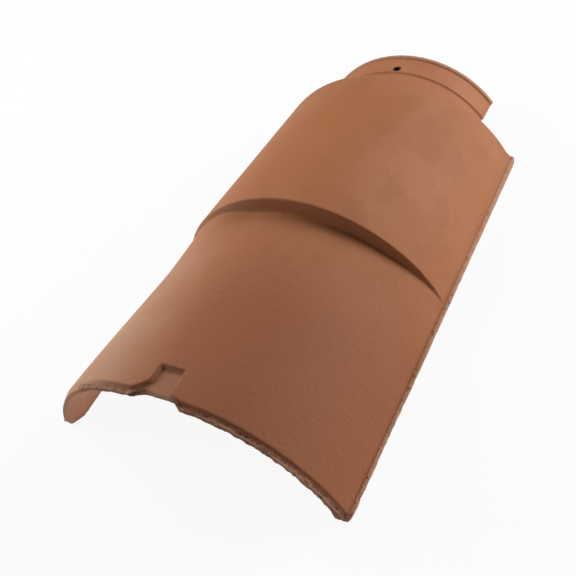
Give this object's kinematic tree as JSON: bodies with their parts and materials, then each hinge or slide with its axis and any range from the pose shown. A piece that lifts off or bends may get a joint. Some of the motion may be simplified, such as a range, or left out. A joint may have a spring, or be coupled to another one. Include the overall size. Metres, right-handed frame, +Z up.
{
  "type": "ridge tile",
  "caption": "Arched clay ridge tile with a crescent lap step at mid-length, a notched cover end with a clip recess, and a lowered spigot with a fine rib, a beaded end and a nail hole.",
  "frame": {"origin": "centre of the tile's plan, on the floor that the two long feet stand on", "axes": "+Y along the ridge from the cover end to the spigot, +Z up out of the roof, +X across the ridge"},
  "size_m": [0.247, 0.449, 0.0882],
  "materials": {
    "clay": "matt fired clay, unglazed"
  },
  "bodies": {
    "root": {"ridge_tile": "clay"}
  },
  "joints": []
}
